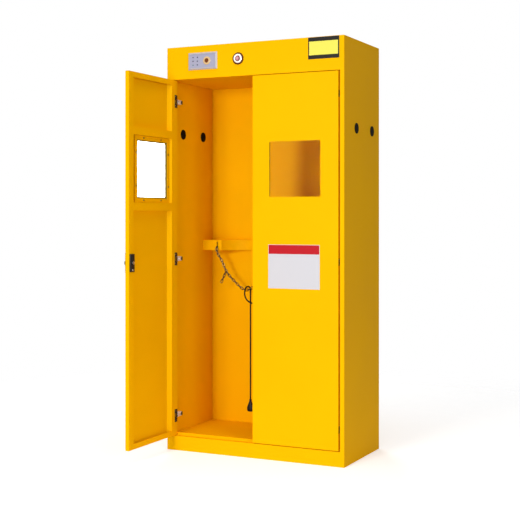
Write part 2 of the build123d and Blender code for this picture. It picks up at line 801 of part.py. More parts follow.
# Latch cam: a tongue that points up when free and turns down behind the right door's lip.
with BuildPart() as latch_cam:
    rod_y(latch_x, (cam_front, cam_back), latch_height, cam_width)
    cam_x = (latch_x - cam_width / 2, latch_x + cam_width / 2)
    block(cam_x, (cam_front, cam_back), (latch_height, latch_height + cam_length))
    fillet(latch_cam.edges().filter_by(Axis.Y).group_by(Axis.Z)[-1], cam_width / 4)
    rod_y(latch_x, (cam_front, cam_back), latch_height, socket_bore, Mode.SUBTRACT)
keep(swung_open(latch_cam.part), "latch_cam")

# Door bolts: a rod inside the right door at each end, with a thumb knob through the lip's slot.
knob_end = door_inner + bolt_knob_length
with BuildPart() as upper_bolt:
    bolt_end = door_top - bolt_end_inset
    rod_z(bolt_x, bolt_y, (bolt_end - bolt_length, bolt_end), bolt_diameter)
    rod_y(bolt_x, (bolt_y, knob_end), upper_knob, bolt_knob_diameter)
keep(upper_bolt.part, "upper_bolt")
with BuildPart() as lower_bolt:
    bolt_end = door_bottom + bolt_end_inset
    rod_z(bolt_x, bolt_y, (bolt_end, bolt_end + bolt_length), bolt_diameter)
    rod_y(bolt_x, (bolt_y, knob_end), lower_knob, bolt_knob_diameter)
keep(lower_bolt.part, "lower_bolt")

# Bolt guides: blocks between the right door's front and lip that the bolts slide in.
with BuildPart() as bolt_guides:
    guide_x = (bolt_x - guide_width / 2, bolt_x + guide_width / 2)
    for middle in (door_top - guide_offset, door_bottom + guide_offset):
        guide_z = (middle - guide_height / 2, middle + guide_height / 2)
        block(guide_x, (fascia_back, lip_front), guide_z)
        rod_z(bolt_x, bolt_y, guide_z, bolt_bore, Mode.SUBTRACT)
keep(bolt_guides.part, "bolt_guides")

# Alarm bezel: a bevelled frame on the header.
bezel_front = front - alarm_bezel_depth
with BuildPart() as alarm_bezel:
    with Locations((alarm_centre, (front + bezel_front) / 2, alarm_centre_height)):
        Box(alarm_width, alarm_bezel_depth, alarm_height)
    chamfer(alarm_bezel.faces().sort_by(Axis.Y)[0].edges(), alarm_bevel)
    with Locations((alarm_centre, (front + bezel_front) / 2, alarm_centre_height)):
        Box(
            alarm_width - 2 * alarm_bezel_frame,
            alarm_bezel_depth,
            alarm_height - 2 * alarm_bezel_frame,
            mode=Mode.SUBTRACT,
        )
keep(alarm_bezel.part, "alarm_bezel")

# Alarm face: the plate set back inside the bezel.
face_front = bezel_front + alarm_face_recess
with BuildPart() as alarm_face:
    with Locations((alarm_centre, face_front + alarm_face_thickness / 2, alarm_centre_height)):
        Box(alarm_width - 2 * alarm_bezel_frame, alarm_face_thickness, alarm_height - 2 * alarm_bezel_frame)
keep(alarm_face.part, "alarm_face")

# Alarm lamp: a round lens with a softened rim.
lamp_x = alarm_centre + lamp_offset
with BuildPart() as alarm_lamp:
    rod_y(lamp_x, (face_front - lamp_height, face_front), alarm_centre_height, lamp_diameter)
    fillet(alarm_lamp.faces().sort_by(Axis.Y)[0].edges(), lamp_height / 2)
keep(alarm_lamp.part, "alarm_lamp")

# Alarm indicator lamps: two columns of three.
with BuildPart() as alarm_leds:
    for column in (-0.5, 0.5):
        for row in (-1, 0, 1):
            led_x = alarm_centre + led_offset + column * led_column_spacing
            led_z = alarm_centre_height + row * led_row_spacing
            rod_y(led_x, (face_front - led_height, face_front), led_z, led_diameter)
keep(alarm_leds.part, "alarm_leds")

# Alarm case: the open-fronted box behind the bezel, let into the header.
case_width = alarm_width - 2 * alarm_case_inset - 2 * alarm_case_clearance
case_height = alarm_height - 2 * alarm_case_inset - 2 * alarm_case_clearance
with BuildPart() as alarm_case:
    with Locations((alarm_centre, front + alarm_case_depth / 2, alarm_centre_height)):
        Box(case_width, alarm_case_depth, case_height)
    offset(amount=-alarm_case_wall, openings=alarm_case.faces().sort_by(Axis.Y)[0])
keep(alarm_case.part, "alarm_case")

# Button bezel: a dark washer on the header.
washer_front = front - button_bezel_thickness
with BuildPart() as button_bezel:
    rod_y(button_centre, (washer_front, front), alarm_centre_height, button_bezel_diameter)
    fillet(button_bezel.faces().sort_by(Axis.Y)[0].edges(), button_bezel_thickness / 2)
    rod_y(button_centre, (washer_front, front), alarm_centre_height, barrel_bore, Mode.SUBTRACT)
keep(button_bezel.part, "button_bezel")

# Button ring: a bright flange with a barrel through the header, bored for the cap.
ring_front = washer_front - button_ring_thickness
barrel_end = front + button_barrel_length
with BuildPart() as button_ring:
    rod_y(button_centre, (ring_front, washer_front), alarm_centre_height, button_ring_diameter)
    fillet(button_ring.faces().sort_by(Axis.Y)[0].edges(), button_ring_thickness / 2)
    rod_y(button_centre, (washer_front, barrel_end), alarm_centre_height, button_barrel_diameter)
    cap_bore = button_cap_diameter + 2 * button_cap_clearance
    rod_y(button_centre, (ring_front, barrel_end), alarm_centre_height, cap_bore, Mode.SUBTRACT)
keep(button_ring.part, "button_ring")

# Button cap: the pressed lens with a stem into the switch.
cap_front = ring_front - button_cap_proud
cap_back = cap_front + button_cap_length
stem_end = barrel_end + button_travel
with BuildPart() as button_cap:
    rod_y(button_centre, (cap_front, cap_back), alarm_centre_height, button_cap_diameter)
    fillet(button_cap.faces().sort_by(Axis.Y)[0].edges(), button_cap_proud / 2)
    rod_y(button_centre, (cap_back, stem_end), alarm_centre_height, button_stem_diameter)
keep(button_cap.part, "button_cap")

# Button switch: the contact block screwed on the back of the barrel.
with BuildPart() as button_switch:
    rod_y(button_centre, (barrel_end, barrel_end + switch_length), alarm_centre_height, switch_diameter)
    stem_bore = button_stem_diameter + 2 * button_cap_clearance
    stem_room = (barrel_end, stem_end + 2 * button_travel)
    rod_y(button_centre, stem_room, alarm_centre_height, stem_bore, Mode.SUBTRACT)
keep(button_switch.part, "button_switch")

# Cable gland: a domed body under the ceiling, a thread through it and a nut above.
gland_bottom = header_bottom - gland_body_length
ceiling_top = header_bottom + sheet
with BuildPart() as cable_gland:
    rod_z(gland_x, gland_y, (gland_bottom, header_bottom), gland_body_diameter)
    fillet(cable_gland.faces().sort_by(Axis.Z)[0].edges(), gland_nut_thickness)
    rod_z(gland_x, gland_y, (header_bottom, ceiling_top), gland_thread_diameter)
    with BuildSketch(Plane.XY.offset(ceiling_top)):
        with Locations((gland_x, gland_y)):
            RegularPolygon(gland_body_diameter / 2, 6)
    extrude(amount=gland_nut_thickness)
keep(cable_gland.part, "cable_gland")

# Supply lead: it drops from the gland behind the right door, swings left below the cradle, loops up
# over the left chain and hangs straight down to its plug.
lead_route = [
    (gland_x, gland_y, gland_bottom),
    (334, 150, 1690),
    (316, 147, 1600),
    (299, 144, 1500),
    (281, 141, 1400),
    (261, 137, 1300),
    (237, 133, 1200),
    (213, 129, 1110),
    (186, 124, 1025),
    (156, 119, 945),
    (121, 113, 870),
    (92, 108, 820),
    (62, 103, 778),
    (8, 100, 722),
    (-55, 97, 688),
    (-115, 94, 673),
    (-160, 92, 677),
    (-189, 94, 693),
    (-201, 96, 716),
    (-200, 97, 738),
    (-195, 98, 758),
    (-184, 127, 758),
    (-184, 127, 203),
]
lead_points = [Vector(point) for point in lead_route]
lead_radii = []
for before, corner, after in zip(lead_points, lead_points[1:], lead_points[2:]):
    turn = (corner - before).get_angle(after - corner)
    shorter = min((corner - before).length, (after - corner).length)
    lead_radii.append(0.45 * shorter / tan(radians(turn / 2)))
print("lead radii", [round(radius, 1) for radius in lead_radii])
with BuildPart() as supply_lead:
    with BuildLine() as lead_line:
        FilletPolyline(*lead_points, radius=lead_radii)
    with BuildSketch(Plane(origin=lead_line.line @ 0, z_dir=lead_line.line % 0)):
        Circle(lead_diameter / 2)
    sweep()
keep(supply_lead.part, "supply_lead")
lead_length = lead_line.wires()[0].length
tube_volume = pi * lead_diameter**2 / 4 * lead_length
print("lead length", round(lead_length), "volume to section times length", supply_lead.part.volume / tube_volume)

# Plug: a moulded pear-shaped body hanging from the lead, with three flat pins on its far side.
plug_x, plug_y, plug_top = lead_route[-1]
plug_face = plug_y + max(deep for drop, wide, deep in plug_profile) / 2
pin_height = plug_top - plug_pin_drop
pin_turns = (-30, 90, 30)
pin_spots = [(-plug_pin_radius, 0), (0, plug_pin_radius), (plug_pin_radius, 0)]
pin_root = plug_face - plug_pin_seat
with BuildPart() as plug_pins:
    for turn, (across, up) in zip(pin_turns, pin_spots):
        with BuildSketch(Plane.XZ.offset(-pin_root)):
            with Locations(Location((plug_x + across, pin_height + up), turn)):
                Rectangle(plug_pin_thickness, plug_pin_width)
        extrude(amount=-(plug_pin_seat + plug_pin_length))
with BuildPart() as lead_plug:
    for drop, wide, deep in plug_profile:
        with BuildSketch(Plane.XY.offset(plug_top - drop)):
            with Locations((plug_x, plug_y)):
                Ellipse(wide / 2, deep / 2)
    loft()
    add(plug_pins.part, mode=Mode.SUBTRACT)
keep(plug_pins.part, "plug_pins")
keep(lead_plug.part, "lead_plug")

# Blank sign plates on the right door and at the corner of the header.
plate_y = (front - plate_thickness, front)
with BuildPart() as door_plate:
    with Locations((door_centre + door_plate_offset, sum(plate_y) / 2, door_plate_centre_height)):
        Box(door_plate_width, plate_thickness, door_plate_height)
keep(door_plate.part, "door_plate")
with BuildPart() as header_plate:
    with Locations((header_plate_centre, sum(plate_y) / 2, roof_bottom - header_plate_height / 2)):
        Box(header_plate_width, plate_thickness, header_plate_height)
keep(header_plate.part, "header_plate")
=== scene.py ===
from math import pi, radians

import bpy
from mathutils import Matrix, Vector


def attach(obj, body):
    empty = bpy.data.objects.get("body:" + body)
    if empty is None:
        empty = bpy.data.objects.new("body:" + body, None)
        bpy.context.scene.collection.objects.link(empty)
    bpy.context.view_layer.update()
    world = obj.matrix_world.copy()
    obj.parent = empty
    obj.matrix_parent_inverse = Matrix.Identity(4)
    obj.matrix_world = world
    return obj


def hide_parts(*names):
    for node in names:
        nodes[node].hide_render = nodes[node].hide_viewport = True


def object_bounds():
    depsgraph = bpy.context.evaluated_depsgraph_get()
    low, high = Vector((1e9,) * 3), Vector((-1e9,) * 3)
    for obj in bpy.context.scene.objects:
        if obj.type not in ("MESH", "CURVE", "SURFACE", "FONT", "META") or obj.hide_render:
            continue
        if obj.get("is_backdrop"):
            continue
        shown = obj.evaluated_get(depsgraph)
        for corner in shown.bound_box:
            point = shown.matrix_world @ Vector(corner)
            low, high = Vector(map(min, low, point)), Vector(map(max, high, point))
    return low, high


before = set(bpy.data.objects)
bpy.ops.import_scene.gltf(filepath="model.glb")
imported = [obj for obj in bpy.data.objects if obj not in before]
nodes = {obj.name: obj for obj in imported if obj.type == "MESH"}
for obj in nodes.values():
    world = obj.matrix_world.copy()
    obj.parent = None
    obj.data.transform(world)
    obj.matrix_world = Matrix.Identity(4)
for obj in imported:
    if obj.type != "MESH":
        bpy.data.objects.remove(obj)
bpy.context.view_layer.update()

# Camera: it stands level, to the right of the cabinet, as the photograph was taken.
# The horizon lies above the middle of the picture, so the lens is shifted down.
photo_size = 520
photo_focal = 1105.06
horizon_row = 216.42
camera_data = bpy.data.cameras.new("photo_camera")
camera_data.sensor_width = 36.0
camera_data.lens = photo_focal * camera_data.sensor_width / photo_size
camera_data.shift_y = (horizon_row - photo_size / 2) / photo_size
camera = bpy.data.objects.new("photo_camera", camera_data)
camera.location = (2.23775, -4.74313, 1.1028)
camera.rotation_euler = (radians(90), 0, radians(25.945))
bpy.context.scene.collection.objects.link(camera)
bpy.context.scene.camera = camera
bpy.context.scene.view_settings.view_transform = "Standard"

# Floor: a pale studio floor under the cabinet that fades out to the white background.
# It is only a stage for the shadow and is no part of the object.


def new_finish(name, colour, roughness, metallic=0.0):
    """A material with its shader, ready for the nodes that give the surface its grain."""
    material = bpy.data.materials.new(name)
    material.use_nodes = True
    shader = material.node_tree.nodes["Principled BSDF"]
    shader.inputs["Base Color"].default_value = (*colour, 1.0)
    shader.inputs["Roughness"].default_value = roughness
    shader.inputs["Metallic"].default_value = metallic
    return material, material.node_tree.nodes, material.node_tree.links, shader


floor_width = 14.0
floor_drop = 0.0006
fade_start = 0.9
fade_end = 2.8
bpy.ops.mesh.primitive_plane_add(size=floor_width, location=(0, 0, -floor_drop))
floor = bpy.context.active_object
floor.name = "studio_floor"
floor_finish, floor_nodes, floor_links, floor_shader = new_finish("pale_floor", (0.86, 0.86, 0.86), 0.9)
floor_place = floor_nodes.new("ShaderNodeTexCoord")
floor_reach = floor_nodes.new("ShaderNodeVectorMath")
floor_reach.operation = "LENGTH"
floor_fade = floor_nodes.new("ShaderNodeMapRange")
floor_fade.inputs["From Min"].default_value = fade_start
floor_fade.inputs["From Max"].default_value = fade_end
floor_clear = floor_nodes.new("ShaderNodeBsdfTransparent")
floor_mix = floor_nodes.new("ShaderNodeMixShader")
floor_lift = floor_nodes.new("ShaderNodeEmission")
floor_lift.inputs["Strength"].default_value = 0.42
floor_white = floor_nodes.new("ShaderNodeAddShader")
floor_ray = floor_nodes.new("ShaderNodeLightPath")
floor_seen = floor_nodes.new("ShaderNodeMixShader")
floor_links.new(floor_place.outputs["Object"], floor_reach.inputs[0])
floor_links.new(floor_reach.outputs["Value"], floor_fade.inputs["Value"])
floor_links.new(floor_fade.outputs["Result"], floor_mix.inputs["Fac"])
floor_links.new(floor_shader.outputs["BSDF"], floor_white.inputs[0])
floor_links.new(floor_lift.outputs["Emission"], floor_white.inputs[1])
floor_links.new(floor_ray.outputs["Is Camera Ray"], floor_seen.inputs["Fac"])
floor_links.new(floor_shader.outputs["BSDF"], floor_seen.inputs[1])
floor_links.new(floor_white.outputs["Shader"], floor_seen.inputs[2])
floor_links.new(floor_seen.outputs["Shader"], floor_mix.inputs[1])
floor_links.new(floor_clear.outputs["BSDF"], floor_mix.inputs[2])
floor_links.new(floor_mix.outputs["Shader"], floor_nodes["Material Output"].inputs["Surface"])
floor.data.materials.append(floor_finish)
floor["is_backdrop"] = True

# Light: a white surround that the lens, metal and glass see at full white, and five soft studio lamps.
# The main lamp stands in front, a little above the windows, so the shut door shades its bay; one at the
# right lights the side panel and the open door's inner face, and one behind lights the back.
world = bpy.data.worlds.new("white_surround")
world.use_nodes = True
bpy.context.scene.world = world
world_nodes = world.node_tree.nodes
world_links = world.node_tree.links
ambient = world_nodes["Background"]
ambient.inputs["Color"].default_value = (1.0, 1.0, 1.0, 1.0)
ambient.inputs["Strength"].default_value = 0.12
seen = world_nodes.new("ShaderNodeBackground")
seen.inputs["Color"].default_value = (1.0, 1.0, 1.0, 1.0)
seen.inputs["Strength"].default_value = 1.0
ray = world_nodes.new("ShaderNodeLightPath")
camera_or_glossy = world_nodes.new("ShaderNodeMath")
camera_or_glossy.operation = "MAXIMUM"
any_view = world_nodes.new("ShaderNodeMath")
any_view.operation = "MAXIMUM"
unbounced = world_nodes.new("ShaderNodeMath")
unbounced.operation = "LESS_THAN"
unbounced.inputs[1].default_value = 0.5
direct_view = world_nodes.new("ShaderNodeMath")
direct_view.operation = "MULTIPLY"
surround = world_nodes.new("ShaderNodeMixShader")
world_links.new(ray.outputs["Is Camera Ray"], camera_or_glossy.inputs[0])
world_links.new(ray.outputs["Is Glossy Ray"], camera_or_glossy.inputs[1])
world_links.new(camera_or_glossy.outputs["Value"], any_view.inputs[0])
world_links.new(ray.outputs["Is Transmission Ray"], any_view.inputs[1])
world_links.new(ray.outputs["Diffuse Depth"], unbounced.inputs[0])
world_links.new(any_view.outputs["Value"], direct_view.inputs[0])
world_links.new(unbounced.outputs["Value"], direct_view.inputs[1])
world_links.new(direct_view.outputs["Value"], surround.inputs["Fac"])
world_links.new(ambient.outputs["Background"], surround.inputs[1])
world_links.new(seen.outputs["Background"], surround.inputs[2])
world_links.new(surround.outputs["Shader"], world_nodes["World Output"].inputs["Surface"])


def studio_lamp(name, place, aim_height, size, power):
    """A square soft lamp that points at a height on the cabinet's middle line."""
    lamp = bpy.data.lights.new(name, "AREA")
    lamp.size = size
    lamp.energy = power
    holder = bpy.data.objects.new(name, lamp)
    holder.location = place
    aim = Vector((0, 0, aim_height)) - Vector(place)
    holder.rotation_euler = aim.to_track_quat("-Z", "Y").to_euler()
    bpy.context.scene.collection.objects.link(holder)


studio_lamp("main_lamp", (-0.3, -4.9, 1.85), 0.95, size=0.9, power=112)
studio_lamp("side_lamp", (4.4, -3.4, 1.8), 0.95, size=1.6, power=96)
studio_lamp("top_lamp", (0.4, -1.2, 4.6), 0.9, size=2.4, power=60)
studio_lamp("low_lamp", (0.6, -3.4, 0.3), 1.3, size=1.6, power=28)
studio_lamp("back_lamp", (-3.0, 4.0, 2.3), 0.95, size=2.2, power=130)


def coat(material, *names):
    """Give a finish to pieces that keep their built shape."""
    for name in names:
        nodes[name].data.materials.clear()
        nodes[name].data.materials.append(material)


paint, paint_nodes, paint_links, paint_shader = new_finish("yellow_powder_coat", (0.93, 0.47, 0.0), 0.5)
paint_shader.inputs["Specular IOR Level"].default_value = 0.02
paint_place = paint_nodes.new("ShaderNodeTexCoord")
paint_cloud = paint_nodes.new("ShaderNodeTexNoise")
paint_cloud.inputs["Scale"].default_value = 2.2
paint_cloud.inputs["Detail"].default_value = 3.0
paint_tone = paint_nodes.new("ShaderNodeValToRGB")
paint_tone.color_ramp.elements[0].position = 0.3
paint_tone.color_ramp.elements[0].color = (0.91, 0.455, 0.0, 1.0)
paint_tone.color_ramp.elements[1].position = 0.7
paint_tone.color_ramp.elements[1].color = (0.95, 0.485, 0.0, 1.0)
paint_peel = paint_nodes.new("ShaderNodeTexNoise")
paint_peel.inputs["Scale"].default_value = 650.0
paint_peel.inputs["Detail"].default_value = 2.0
paint_bump = paint_nodes.new("ShaderNodeBump")
paint_bump.inputs["Strength"].default_value = 0.05
paint_bump.inputs["Distance"].default_value = 0.0005
paint_gloss = paint_nodes.new("ShaderNodeMapRange")
paint_gloss.inputs["To Min"].default_value = 0.45
paint_gloss.inputs["To Max"].default_value = 0.56
paint_links.new(paint_place.outputs["Object"], paint_cloud.inputs["Vector"])
paint_links.new(paint_place.outputs["Object"], paint_peel.inputs["Vector"])
paint_links.new(paint_cloud.outputs["Fac"], paint_tone.inputs["Fac"])
paint_links.new(paint_tone.outputs["Color"], paint_shader.inputs["Base Color"])
paint_links.new(paint_cloud.outputs["Fac"], paint_gloss.inputs["Value"])
paint_links.new(paint_gloss.outputs["Result"], paint_shader.inputs["Roughness"])
paint_links.new(paint_peel.outputs["Fac"], paint_bump.inputs["Height"])
paint_links.new(paint_bump.outputs["Normal"], paint_shader.inputs["Normal"])
coat(paint, "left_side_panel", "right_side_panel", "header_fascia", "plinth_panel", "back_panel")
coat(paint, "roof_panel", "ceiling_panel", "floor_tray", "floor_stiffener", "cylinder_cradle")
coat(paint, "left_door_pan", "right_door_pan", "left_window_band", "right_window_band")
coat(paint, "left_window_frame", "right_window_frame")

# Pipe-hole plugs: soft black rubber discs buttoned into the holes of both sides from the outside.
# Each has a rounded rim and a dished middle, and shows a like flange on the inner side.
side_outer = 0.45
side_inner = 0.4485
plug_hole_height = 1.5
plug_hole_places = (-0.075, 0.125)
to_left = (0, -pi / 2, 0)
to_right = (0, pi / 2, 0)


def grained(name, colour, roughness, metallic, scale, strength, gloss=0.5):
    """A finish with a fine even grain in its surface."""
    material, finish_nodes, finish_links, shader = new_finish(name, colour, roughness, metallic)
    shader.inputs["Specular IOR Level"].default_value = gloss
    place = finish_nodes.new("ShaderNodeTexCoord")
    grain = finish_nodes.new("ShaderNodeTexNoise")
    grain.inputs["Scale"].default_value = scale
    grain.inputs["Detail"].default_value = 3.0
    bump = finish_nodes.new("ShaderNodeBump")
    bump.inputs["Strength"].default_value = strength
    bump.inputs["Distance"].default_value = 0.0003
    spread = finish_nodes.new("ShaderNodeMapRange")
    spread.inputs["To Min"].default_value = roughness * 0.85
    spread.inputs["To Max"].default_value = roughness * 1.15
    finish_links.new(place.outputs["Object"], grain.inputs["Vector"])
    finish_links.new(grain.outputs["Fac"], bump.inputs["Height"])
    finish_links.new(bump.outputs["Normal"], shader.inputs["Normal"])
    finish_links.new(grain.outputs["Fac"], spread.inputs["Value"])
    finish_links.new(spread.outputs["Result"], shader.inputs["Roughness"])
    return material


def pick(piece):
    """Select one object alone and make it the active one."""
    bpy.ops.object.select_all(action="DESELECT")
    piece.select_set(True)
    bpy.context.view_layer.objects.active = piece


def settle(piece):
    """Bake an object's place, turn and scale into its mesh, with its faces turned outward."""
    pick(piece)
    bpy.ops.object.transform_apply(location=True, rotation=True, scale=True)
    bpy.ops.object.mode_set(mode="EDIT")
    bpy.ops.mesh.select_all(action="SELECT")
    bpy.ops.mesh.normals_make_consistent(inside=False)
    bpy.ops.object.mode_set(mode="OBJECT")


def turned(name, rings, sides=40):
    """A turned piece along +Z: a disc drawn out from ring to ring, each ring a radius and a height."""
    radius, height = rings[0]
    bpy.ops.object.select_all(action="DESELECT")
    bpy.ops.mesh.primitive_circle_add(vertices=sides, radius=radius, fill_type="NGON")
    piece = bpy.context.active_object
    piece.name = name
    bpy.ops.object.mode_set(mode="EDIT")
    bpy.ops.mesh.select_all(action="SELECT")
    bpy.ops.transform.translate(value=(0, 0, height))
    for next_radius, next_height in rings[1:]:
        rise = next_height - height
        bpy.ops.mesh.extrude_region_move(TRANSFORM_OT_translate={"value": (0, 0, rise)})
        share = next_radius / radius
        bpy.ops.transform.resize(value=(share, share, 1), center_override=(0, 0, next_height))
        radius, height = next_radius, next_height
    bpy.ops.object.mode_set(mode="OBJECT")
    return piece


def cover(piece, material):
    """Give a whole piece one finish and smooth its rounded faces."""
    piece.data.materials.clear()
    piece.data.materials.append(material)
    pick(piece)
    bpy.ops.object.shade_smooth_by_angle(angle=radians(32))


def placed(piece, place, turn=(0, 0, 0), scale=(1, 1, 1)):
    """A copy of a piece, set in its place."""
    twin = piece.copy()
    twin.data = piece.data.copy()
    bpy.context.scene.collection.objects.link(twin)
    twin.location = place
    twin.rotation_euler = turn
    twin.scale = scale
    settle(twin)
    return twin


def joined(name, pieces):
    """Several pieces made into one object, each keeping its finish."""
    pick(pieces[0])
    for piece in pieces[1:]:
        piece.select_set(True)
    bpy.ops.object.join()
    pieces[0].name = name
    return pieces[0]


def mount(piece, body, slot, *names):
    """Fix a finished piece to its body, in place of the plain shapes that it stands for."""
    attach(piece, body)
    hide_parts(*names)


rubber = grained("black_rubber", (0.008, 0.006, 0.004), 0.7, 0.0, 260.0, 0.1, 0.03)
plug_disc = turned("plug_disc", [
    (0.0242, 0.0), (0.0242, 0.0012), (0.0236, 0.0021), (0.0228, 0.0025), (0.021, 0.0025), (0.0201, 0.0021),
    (0.0195, 0.0014), (0.0040, 0.0012), (0.0030, 0.0016), (0.0010, 0.0016),
])
cover(plug_disc, rubber)
discs = []
for hole_y in plug_hole_places:
    discs.append(placed(plug_disc, (side_outer, hole_y, plug_hole_height), to_right))
    discs.append(placed(plug_disc, (side_inner, hole_y, plug_hole_height), to_left))
    discs.append(placed(plug_disc, (-side_outer, hole_y, plug_hole_height), to_left))
    discs.append(placed(plug_disc, (-side_inner, hole_y, plug_hole_height), to_right))
bpy.data.objects.remove(plug_disc)
mount(joined("pipe_hole_plugs", discs), "cabinet", "black_rubber", "pipe_plugs")

# Cradle fixings and chains: bright zinc-plated bolts through the back, and a chain of welded links at
# each bay, in a darkened brownish zinc: painted shade between the links and a painted reflection of the yellow
# paint.
zinc = grained("bright_zinc", (0.62, 0.61, 0.58), 0.34, 1.0, 180.0, 0.08)
coat(zinc, "cradle_rivets")
# Painted shade: this zinc is darkened and browned to copy the shade between links and the yellow paint they
# reflect.
painted_shade_zinc = grained("painted_shade_zinc", (0.18, 0.125, 0.055), 0.2, 1.0, 180.0, 0.08)
coat(painted_shade_zinc, "left_chain", "right_chain")

# Windows: a clear pane in a rubber channel behind each door's front sheet, held by a frame with eight
# cross-head screws. The channel is coloured olive as painted shade of a yellow reveal. The glass is plain
# float glass with the faint green of its edge.
window_height = 1.316
right_window_middle = 0.2115
right_frame_face = -0.214
left_window_middle = -0.4165
left_frame_face = -0.414
screw_spread = 0.075
screw_reach = 0.14
to_back = (-pi / 2, 0, 0)


def box_piece(name, low, high):
    """A plain box between two corners."""
    bpy.ops.object.select_all(action="DESELECT")
    bpy.ops.mesh.primitive_cube_add(size=1.0)
    piece = bpy.context.active_object
    piece.name = name
    piece.location = [(a + b) / 2 for a, b in zip(low, high)]
    piece.scale = [b - a for a, b in zip(low, high)]
    settle(piece)
    return piece


def cut(piece, cutter):
    """Take one piece's shape out of another."""
    pick(piece)
    cutting = piece.modifiers.new("cutting", "BOOLEAN")
    cutting.operation = "DIFFERENCE"
    cutting.object = cutter
    bpy.ops.object.modifier_apply(modifier=cutting.name)
    bpy.data.objects.remove(cutter)


def screw_head(name, radius, height, finish):
    """A pressed pan head with a cross recess, along +Z."""
    head = turned(name, [
        (radius, 0.0), (radius, 0.3 * height), (0.86 * radius, 0.68 * height), (0.6 * radius, 0.93 * height),
        (0.3 * radius, height),
    ], 28)
    for wide, long in ((0.2, 1.15), (1.15, 0.2)):
        half_wide = wide * radius / 2
        half_long = long * radius / 2
        recess_low = (-half_wide, -half_long, 0.45 * height)
        recess_high = (half_wide, half_long, 2 * height)
        cut(head, box_piece("recess", recess_low, recess_high))
    cover(head, finish)
    return head


glass, *_, glass_shader = new_finish("clear_glass", (0.985, 1.0, 0.99), 0.02)
glass_shader.inputs["Transmission Weight"].default_value = 1.0
glass_shader.inputs["IOR"].default_value = 1.15
coat(glass, "left_window_glass", "right_window_glass")
# Painted shade: the black rubber channel is coloured olive to stand for a shaded yellow reveal.
painted_shade_gasket = grained("painted_shade_gasket", (0.32, 0.23, 0.03), 0.6, 0.0, 260.0, 0.1, 0.1)
coat(painted_shade_gasket, "left_window_gasket", "right_window_gasket")
# The window screw heads take the same darkened zinc, as painted shade.
window_screw = screw_head("window_screw", 0.004, 0.0025, painted_shade_zinc)
screw_steps = [(across, up) for across in (-screw_spread, screw_spread) for up in (-screw_reach, screw_reach)]
screw_steps += [(across, up) for across in (-screw_reach, screw_reach) for up in (-screw_spread, screw_spread)]
right_screws = []
left_screws = []
for across, up in screw_steps:
    right_place = (right_window_middle + across, right_frame_face, window_height + up)
    left_place = (left_frame_face, left_window_middle + across, window_height + up)
    right_screws.append(placed(window_screw, right_place, to_back))
    left_screws.append(placed(window_screw, left_place, to_right))
bpy.data.objects.remove(window_screw)
mount(joined("right_window_screw_heads", right_screws), "right_door", "zinc_steel", "right_window_screws")
mount(joined("left_window_screw_heads", left_screws), "left_door", "zinc_steel", "left_window_screws")

# Hinge arms: pale zinc arms on packing plates inside the carcass jambs, each ending in a painted knuckle
# on the pin. Two cross-head adjusting screws sit in a shallow channel, and a black cap covers the rear end.
hinge_heights = (0.162, 0.902, 1.646)
pivot_x = 0.414
pivot_y = -0.214
channel_floor = 0.4089


def round_edges(piece, width, segments=2):
    """Round over every sharp edge of a piece."""
    pick(piece)
    rounding = piece.modifiers.new("rounding", "BEVEL")
    rounding.width = width
    rounding.segments = segments
    rounding.limit_method = "ANGLE"
    rounding.angle_limit = radians(30)
    bpy.ops.object.modifier_apply(modifier=rounding.name)


def both_jambs(piece):
    """Three copies of a hinge piece on the right jamb, and three mirrored ones on the left."""
    right = [placed(piece, (0, 0, height)) for height in hinge_heights]
    left = [placed(piece, (0, 0, height), scale=(-1, 1, 1)) for height in hinge_heights]
    bpy.data.objects.remove(piece)
    return right, left


plastic = grained("black_plastic", (0.011, 0.01, 0.01), 0.48, 0.0, 320.0, 0.08, 0.2)
pale_zinc = grained("pale_zinc", (0.8, 0.78, 0.74), 0.5, 0.45, 180.0, 0.08)
dark_steel = grained("dark_steel", (0.016, 0.013, 0.012), 0.4, 0.0, 240.0, 0.08, 0.2)
arm_body = box_piece("arm_body", (0.408, -0.2, -0.011), (0.426, -0.158, 0.011))
round_edges(arm_body, 0.004, 4)
cut(arm_body, box_piece("channel", (0.4, -0.1965, -0.0062), (channel_floor, -0.1615, 0.0062)))
arm_neck = box_piece("arm_neck", (0.408, pivot_y, -0.0098), (0.42, -0.199, 0.0098))
arm_knuckle = turned("arm_knuckle", [(0.0054, 0), (0.006, 0.0006), (0.006, 0.0194), (0.0054, 0.02)])
arm_knuckle.location = (pivot_x, pivot_y, -0.01)
settle(arm_knuckle)
cover(arm_body, pale_zinc)
cover(arm_neck, dark_steel)
cover(arm_knuckle, paint)
arm_cap = box_piece("arm_cap", (0.4076, -0.1655, -0.0088), (0.426, -0.15, 0.0088))
round_edges(arm_cap, 0.003, 4)
cover(arm_cap, plastic)
arm_screw = screw_head("arm_screw", 0.0044, 0.002, zinc)
arm_screws = [placed(arm_screw, (channel_floor, place, 0), to_left) for place in (-0.19, -0.174)]
bpy.data.objects.remove(arm_screw)
arm = joined("hinge_arm", [arm_body, arm_neck, arm_knuckle, arm_cap, *arm_screws])
right_arms, left_arms = both_jambs(arm)
mount(joined("right_hinge_arm_set", right_arms), "cabinet", "zinc_steel", "right_hinge_arms")
mount(joined("left_hinge_arm_set", left_arms), "cabinet", "zinc_steel", "left_hinge_arms")

# Hinge packing plates: flat zinc plates between the arms and the jambs, with rounded edges.
# Each is held by two pan-head screws, one above and one below its arm.
packer = box_piece("packer", (0.426, -0.2, -0.022), (0.4285, -0.168, 0.022))
round_edges(packer, 0.0008)
cover(packer, zinc)
# The packer and leaf screws take the same darkened zinc, as painted shade.
packer_screw = screw_head("packer_screw", 0.0042, 0.0022, painted_shade_zinc)
packer_screws = [placed(packer_screw, (0.426, -0.184, height), to_left) for height in (-0.0165, 0.0165)]
packer = joined("packer", [packer, *packer_screws])
right_packers, left_packers = both_jambs(packer)
mount(joined("right_hinge_packers", right_packers), "cabinet", "zinc_steel", "right_hinge_plates")
mount(joined("left_hinge_packers", left_packers), "cabinet", "zinc_steel", "left_hinge_plates")

